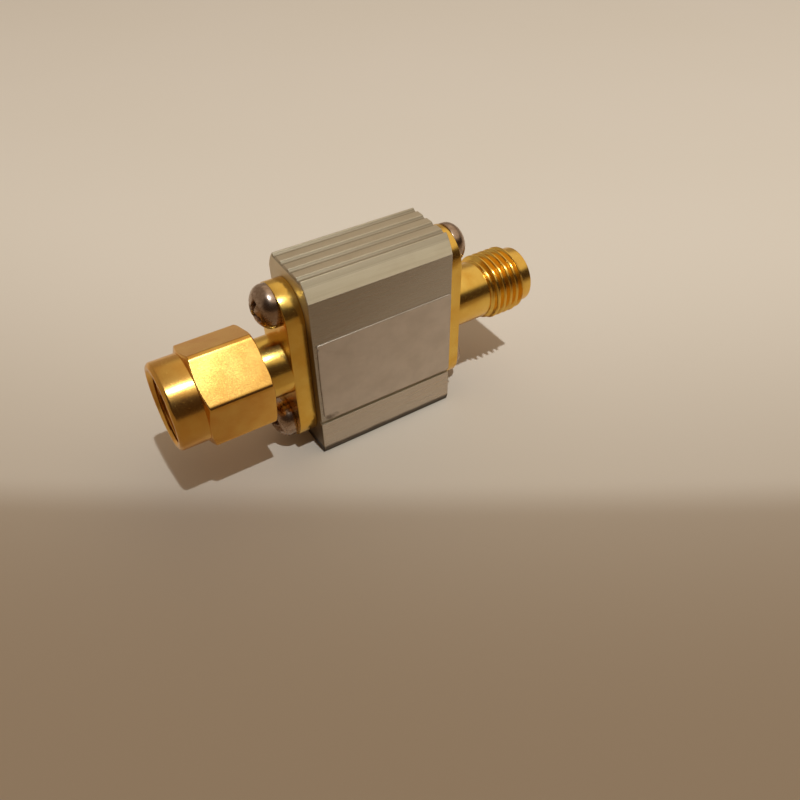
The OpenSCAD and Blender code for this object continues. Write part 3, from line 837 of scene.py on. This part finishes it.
# %% [markdown]
# ## Rings of the nut
#
# The skin starts on the flange's side, runs over the hexagon and the collar, turns
# into the mouth, and comes back through the thread, the undercut, the wall in front of
# the ring's groove, the groove and the lip that runs on the barrel. The rings lie close
# together at the bevels and far apart on the flats.

# %% Nut
NUT_BACK = 3.9
NUT_HEX_END = NUT_BACK + 5.75
NUT_FRONT = NUT_HEX_END + 2.55
CONE_FOOT, CONE_LONG, BACK_RIM, RIM_BEVEL = 3.925, 0.3, 0.06, 0.25
MOUTH_R, MOUTH_BEVEL, NUT_THREAD_LOW, NUT_THREAD_TALL = 3.2, 0.14, 7.43, 0.33
UNDERCUT_R, CHAMBER_FLOOR = 3.25, 6.4
LIP_R, LIP_BEVEL, SLOT_R, SLOT_LOW, SLOT_HIGH = 2.55, 0.05, 3.0, 5.2, 6.0


def hex_row(d, angles):
    """One ring of the bevelled hexagon, with the collar showing where it is larger."""
    from_end = min(d - NUT_BACK + CONE_LONG / 2, NUT_HEX_END - d)
    cone = CONE_FOOT + from_end * (HEX_R - CONE_FOOT) / CONE_LONG
    radius = softer_min(hexagon(angles), np.full(angles.shape, cone), CONE_SOFT)
    if d > (NUT_BACK + NUT_HEX_END) / 2:
        radius = -softer_min(-radius, -COLLAR_R, COLLAR_SOFT)
    rim = max(BACK_RIM - (d - NUT_BACK), 0)
    return ring(-1, radius - BACK_RIM + math.sqrt(BACK_RIM ** 2 - rim ** 2), d, angles)


steps = np.concatenate([np.linspace(0.008, 0.42, 24), [0.7, 1.2, 2.0, 2.8]])
spots = np.concatenate([[NUT_BACK, NUT_BACK + 0.002], NUT_BACK + steps, NUT_HEX_END - steps[::-1]])
rows = [ring(-1, r, NUT_BACK, angles) for r in (LIP_R + LIP_BEVEL, 3.2, 3.7)]
rows += [hex_row(d, angles) for d in spots]
collar = eased([(COLLAR_R, NUT_HEX_END), (COLLAR_R, NUT_FRONT - RIM_BEVEL, 0.10),
                (COLLAR_R - RIM_BEVEL, NUT_FRONT, 0.08), (MOUTH_R + 0.12, NUT_FRONT, 0.05),
                (MOUTH_R, NUT_FRONT - MOUTH_BEVEL)], 0.05, closed=False)
rows += [ring(-1, r, d, angles) for r, d in collar]
rows += thread_rows(-1, NUT_THREAD_LOW, NUT_FRONT - MOUTH_BEVEL, MOUTH_R, -NUT_THREAD_TALL,
                    angles)[::-1]
inside = eased([(MOUTH_R, NUT_THREAD_LOW), (UNDERCUT_R, NUT_THREAD_LOW - 0.05),
                (UNDERCUT_R, CHAMBER_FLOOR), (LIP_R, CHAMBER_FLOOR), (LIP_R, SLOT_HIGH),
                (SLOT_R, SLOT_HIGH), (SLOT_R, SLOT_LOW), (LIP_R, SLOT_LOW),
                (LIP_R, NUT_BACK + LIP_BEVEL), (LIP_R + LIP_BEVEL, NUT_BACK)], 0.03,
               closed=False)
rows += [ring(-1, r, d, angles) for r, d in inside]
hand_over(skin("coupling_nut", rows), nut_gold, "coupling_nut", "swivel_nut", 25)

# %% [markdown]
# ## Pin and insulators
#
# These small turned pieces show only when somebody looks into the nut or the jack. The
# pin has a rounded end, and both insulators have the same form. What fits into a bore
# is SEAT smaller in radius, and stands as far off the step in it.

# %% Pin and insulators
SEAT = 0.02
TAIL_END, TAIL_R, CORE_R, PIN_R = -2.4, 0.45, 0.635, 0.455
PIN_TAPER, PIN_TIP, PIN_END = 10.5, 10.88, 10.9
SLEEVE_BACK = -0.4


def insulator(name, side, step, face):
    """A white sleeve, thin behind the step in its bore and full width up to face."""
    stub, full = STUB_BORE - SEAT, SLEEVE_BORE - SEAT
    sleeve = turned(name, side, [
        (TAIL_R + SEAT, SLEEVE_BACK), (TAIL_R + SEAT, step), (CORE_R + SEAT, step),
        (CORE_R + SEAT, face), (full, face), (full, step + SEAT), (stub, step + SEAT),
        (stub, SLEEVE_BACK)], 0.04, 64)
    hand_over(sleeve, ptfe, name)


pin = turned("plug_pin", -1, [
    (0, TAIL_END), (TAIL_R, TAIL_END), (TAIL_R, PLUG_STEP + SEAT), (CORE_R, PLUG_STEP + SEAT),
    (CORE_R, FERRULE_FACE), (PIN_R, FERRULE_FACE), (PIN_R, PIN_TAPER, 0.2), (0.16, PIN_TIP, 0.1),
    (0, PIN_END)], 0.04, 64, False)
hand_over(pin, pin_gold, "plug_pin")
insulator("plug_dielectric", -1, PLUG_STEP, FERRULE_FACE)
insulator("jack_dielectric", 1, JACK_STEP, JACK_PLANE)

# %% [markdown]
# ## Contact and gasket
#
# The jack's contact is a tube with a slit, so that it grips a pin like a spring. A thin
# plate cuts the slit. The gasket lies at the bottom of the nut, around the barrel's
# end, and seals the joint with a jack.

# %% Contact and gasket
SOCKET_R, SOCKET_DEEP = 0.475, 3.0
SLIT_HALF, SLIT_LONG, SLIT_END = 0.06, 1.8, 9.0
GASKET_R, GASKET_LOW, GASKET_HIGH = 3.1, 6.475, 7.275

contact = turned("jack_contact", 1, [
    (0, TAIL_END), (TAIL_R, TAIL_END), (TAIL_R, JACK_STEP + SEAT), (CORE_R, JACK_STEP + SEAT),
    (CORE_R, JACK_PLANE), (SOCKET_R, JACK_PLANE), (SOCKET_R, JACK_PLANE - SOCKET_DEEP),
    (0, JACK_PLANE - SOCKET_DEEP)], 0.03, 64, False)
slit_loop = [(y * SLIT_HALF, AXIS_Z + z) for y, z in ((-1, -1), (1, -1), (1, 1), (-1, 1))]
slit = plate("slit", [slit_loop], END_X + JACK_PLANE - SLIT_LONG, END_X + SLIT_END, 0.0)
combine(contact, slit, "DIFFERENCE")
hand_over(contact, pin_gold, "jack_contact")
gasket = turned("plug_gasket", -1, [
    (FERRULE_R + SEAT, GASKET_HIGH), (GASKET_R, GASKET_HIGH), (GASKET_R, GASKET_LOW),
    (BARREL_R + SEAT, GASKET_LOW), (BARREL_R + SEAT, PLUG_STEP + SEAT),
    (FERRULE_R + SEAT, PLUG_STEP + SEAT)], 0.06, 96)
hand_over(gasket, rubber, "plug_gasket")

# %% [markdown]
# ## Flange screws
#
# Each screw has a domed head with a cross recess. The recess isn't cut: the dome's
# height is lowered inside a cross, steeply at the walls and deeper towards the middle,
# on rings that lie close together. That leaves soft, pressed edges, as on a real
# cold-headed screw.

# %% Screw recess
CROSS_HALF, CROSS_REACH, WALL_RUN, END_RUN = 0.25, 1.1, 0.10, 0.45
CROSS_DEEP, MIDDLE_DEEP, MIDDLE_R = 0.62, 0.22, 0.5
END_SHARE = 0.55


def cross_depth(y, z, turn):
    """How far the recess lies below the dome at a point on the head."""
    u = np.abs(y * math.cos(turn) + z * math.sin(turn))
    v = np.abs(z * math.cos(turn) - y * math.sin(turn))
    inside = np.maximum(np.minimum(CROSS_HALF - u, CROSS_REACH - v),
                        np.minimum(CROSS_HALF - v, CROSS_REACH - u))
    wall = np.clip(inside / WALL_RUN + 0.5, 0, 1)
    deep = CROSS_DEEP + MIDDLE_DEEP * np.clip(1 - np.hypot(u, v) / MIDDLE_R, 0, 1)
    slope = np.clip((CROSS_REACH - np.maximum(u, v)) / END_RUN, 0, 1)
    return wall * wall * (3 - 2 * wall) * deep * (END_SHARE + (1 - END_SHARE) * slope)


# %% [markdown]
# ## The four screws
#
# All four are the same screw, but each came to rest at its own angle when it was
# tightened. They stand for one CAD node, so they are joined into one mesh.

# %% Screws
SHANK_R, SHANK_END = 1.0, -5.2
HEAD_R, HEAD_H, RIM_H = 1.9, 1.7, 0.35
SCREW_PLACES = [(-1, 1, 20), (-1, -1, 65), (1, 1, 40), (1, -1, 10)]


def screw_rows(side, up, turn, angles):
    """Rings of one screw: its shank, the flank of its dome, and the top with the recess."""
    lift, dome_h = up * SCREW_LIFT, HEAD_H - RIM_H
    shank = eased([(0, SHANK_END), (SHANK_R, SHANK_END, 0.2), (SHANK_R, 0, 0.02),
                   (HEAD_R, 0, 0.06), (HEAD_R, RIM_H)], 0.04, closed=False)
    rows = [ring(side, r, FLANGE_T + d, angles, lift) for r, d in shank]
    for a in np.radians(np.linspace(4, 34, 9)):
        r, d = HEAD_R * math.cos(a), RIM_H + dome_h * math.sin(a)
        rows.append(ring(side, r, FLANGE_T + d, angles, lift))
    for r in np.linspace(HEAD_R * math.cos(math.radians(36)), 0, 62):
        dome = RIM_H + dome_h * math.sqrt(1 - (r / HEAD_R) ** 2)
        drop = cross_depth(r * np.cos(angles), r * np.sin(angles), turn)
        rows.append(ring(side, r, FLANGE_T + dome - drop, angles, lift))
    return rows


screws = None
for side, up, turn in SCREW_PLACES:
    one = skin("screw", screw_rows(side, up, math.radians(turn), circle(144)), closed=False)
    if screws is None:
        screws = one
        continue
    work = bmesh.new()
    work.from_mesh(screws.data)
    work.from_mesh(one.data)
    work.to_mesh(screws.data)
    work.free()
    bpy.data.objects.remove(one)
hand_over(screws, steel, "flange_screws", crease=40)

# %% [markdown]
# ## Floor
#
# The filter stands on a plain pale surface. A very large plane keeps its edge out of
# sight from any side. Its colour has only a trace of paper-like unevenness.

# %% Floor
FLOOR_REACH = 6.0

corners = [(x * FLOOR_REACH, y * FLOOR_REACH, 0) for x, y in ((-1, -1), (1, -1), (1, 1), (-1, 1))]
floor_mesh = bpy.data.meshes.new("floor")
floor_mesh.from_pydata(corners, [], [(0, 1, 2, 3)])
floor = object_of("floor", floor_mesh)
f = Finish("pale_floor")
pale = f.mix(f.remap(f.noise(0.02, 2.0), 0.3, 0.7), srgb(207, 189, 167), srgb(206, 188, 165))
floor_mesh.materials.append(f.set(Base_Color=pale, Roughness=0.8))

# %% [markdown]
# ## Lamps
#
# In the photograph the far floor is bright and the near floor lies in shade. The edge
# of the shade runs past the filter, and the lower half of the front face mirrors the
# bright side of it. A spot lamp gives such an edge when its cone is aimed far behind
# the filter, so that only the near rim of the beam falls on it. Two beams from one
# place make the real edge: a wide one that fades slowly, and a weaker one with a
# fairly sharp rim. The rim of a narrow cone draws a curve on the floor, so the second
# beam has a very wide cone and points far away: its rim is almost straight there. The
# bulbs are small, because the shadows of the nut and the jack have clear edges.

# %% Key lamps
LAMP_PLACE = Vector((12, -195, 574))


def beam(name, aim, power, cone, blend, bulb):
    """A spot lamp. aim and bulb in mm, power in watts, the cone's full angle in degrees."""
    lamp = bpy.data.lights.new(name, "SPOT")
    lamp.energy = power
    lamp.spot_size = math.radians(cone)
    lamp.spot_blend = blend
    lamp.shadow_soft_size = bulb * MM
    lamp.color = (0.87, 1.0, 1.13)
    shown = object_of(name, lamp)
    shown.location = LAMP_PLACE * MM
    shown.rotation_euler = (LAMP_PLACE - Vector(aim)).to_track_quat("Z", "Y").to_euler()
    print(name, "at mm", [round(c / MM) for c in shown.location])


beam("wide_beam", aim=(130.8, 201.4, 0), power=8.3, cone=44.4, blend=0.45, bulb=12.0)
beam("edge_beam", aim=(968, 1660, 0), power=3.5, cone=120.0, blend=0.004, bulb=2.0)

# %% [markdown]
# ## A weak lamp for the shoulder
#
# The sloping shoulder of the block is its brightest band in the photograph, because a
# pale thing out of the picture stands in its mirror direction. A weak area lamp does
# that. Light linking keeps it on the housing, so that it doesn't draw a stripe on
# each of the round gold parts.

# %% Shoulder lamp
soft = bpy.data.lights.new("shoulder_lamp", "AREA")
soft.shape = "RECTANGLE"
soft.size, soft.size_y = 160 * MM, 60 * MM
soft.energy = 0.24
soft.color = (0.94, 1.0, 0.98)
shoulder_lamp = object_of("shoulder_lamp", soft)
shoulder_lamp.location = Vector((130, -262, 72)) * MM
shoulder_lamp.rotation_euler = shoulder_lamp.location.to_track_quat("Z", "Y").to_euler()
lit = bpy.data.collections.new("lit_by_shoulder_lamp")
lit.objects.link(housing)
shoulder_lamp.light_linking.receiver_collection = lit

# %% [markdown]
# ## Sky
#
# A sky stands in for the room. Gold has no colour of its own to show but what it
# reflects, so the sky has four tones: a pale wall low down on the far side, a plain
# part above, a brighter one high up on the jack's side, and a dim, warm part low down
# on the viewer's side. Smooth steps mark out the parts. The upper limit of the dim one
# leans with X, because it reaches less high at the jack's side.

# %% Sky
WALL, ABOVE = (0.41, 0.34, 0.270), (0.33, 0.27, 0.213)
BRIGHT, DIM = (0.80, 0.68, 0.54), (0.045, 0.026, 0.0145)

world = bpy.data.worlds.new("studio_sky")
bpy.context.scene.world = world
world.use_nodes = True
sky = Nodes(world.node_tree)


def sky_step(value, low, high):
    """A smooth step from 0 at low to 1 at high."""
    return sky.remap(value, low, high, interpolation_type="SMOOTHSTEP")


view_x, view_y, view_z = sky.split(sky.add("ShaderNodeTexCoord").outputs["Generated"])
towards_viewer = sky_step(sky.math("MULTIPLY", view_y, -1.0), -0.05, 0.35)
leaning = sky.math("MULTIPLY_ADD", view_x, 0.4, view_z)
low_down = sky.math("SUBTRACT", 1.0, sky_step(leaning, 0.68, 0.84))
dim = sky.math("MULTIPLY", towards_viewer, low_down)
bright = sky.math("MULTIPLY", sky_step(view_x, -0.10, 0.30), sky_step(view_z, 0.35, 0.60))
tone = sky.mix(sky_step(view_z, 0.15, 0.45), WALL, ABOVE)
tone = sky.mix(bright, tone, BRIGHT)
tone = sky.mix(dim, tone, DIM)
sky.put(sky.tree.nodes["Background"].inputs["Color"], tone)
print("sky:", len(sky.tree.nodes), "nodes")

# %% [markdown]
# ## Camera
#
# The camera stands where the photographer stood. Its place, turn and lens were fitted
# to corners and edges measured in the picture, with the connectors' known sizes as the
# ruler. The picture is square, so the lens is given for a 36 mm square sensor.

# %% Camera
TARGET = Vector((3.519, 0.0, -1.259))
AZIMUTH, ELEVATION, ROLL = (math.radians(a) for a in (-31.271, 42.406, -1.150))
DISTANCE, LENS, SENSOR = 76.013, 33.523, 36.0

back = Vector((math.sin(AZIMUTH) * math.cos(ELEVATION), -math.cos(AZIMUTH) * math.cos(ELEVATION),
               math.sin(ELEVATION)))
right = Vector((math.cos(AZIMUTH), math.sin(AZIMUTH), 0))
up = back.cross(right)
level_right = math.cos(ROLL) * right + math.sin(ROLL) * up
level_up = -math.sin(ROLL) * right + math.cos(ROLL) * up
camera_data = bpy.data.cameras.new("photo_camera")
camera_data.lens = LENS
camera_data.sensor_width = SENSOR
camera_data.clip_start = 0.001
camera_data.clip_end = 20.0
camera = object_of("photo_camera", camera_data)
pose = Matrix((level_right, level_up, back)).transposed().to_4x4()
pose.translation = (TARGET + back * DISTANCE) * MM
camera.matrix_world = pose
bpy.context.scene.camera = camera
bpy.context.scene.view_settings.view_transform = "Standard"
print("camera at mm:", [round(c / MM, 1) for c in camera.location])
